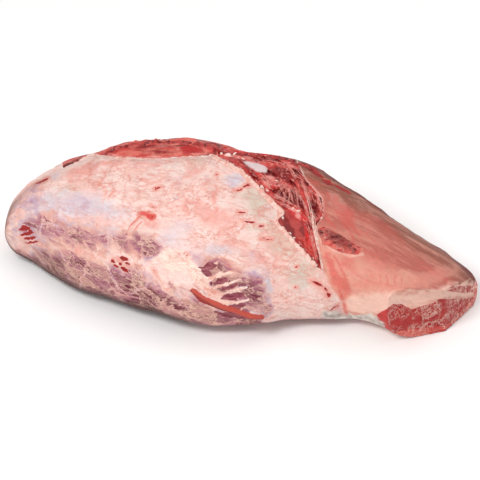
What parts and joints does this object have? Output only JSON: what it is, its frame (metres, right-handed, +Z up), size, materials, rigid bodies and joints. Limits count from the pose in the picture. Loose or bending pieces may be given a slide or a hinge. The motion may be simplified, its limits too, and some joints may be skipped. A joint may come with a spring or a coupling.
{
  "type": "beef shoulder clod",
  "caption": "Whole raw boneless beef shoulder clod lying on its flat side: membrane-covered lobe, torn valley of bare muscle, second lobe and a sawn end.",
  "frame": {"origin": "a point near the middle of the flat face that the cut rests on", "axes": "+Z up, +X along the cut from its blunt round tip to its sawn end, -Y the near side that shows in the picture"},
  "size_m": [0.5593, 0.277, 0.1267],
  "materials": {
    "raw_beef": "moist raw beef under a pale membrane, with bare red muscle and white fat"
  },
  "bodies": {
    "root": {"shoulder_clod": "raw_beef"}
  },
  "joints": []
}
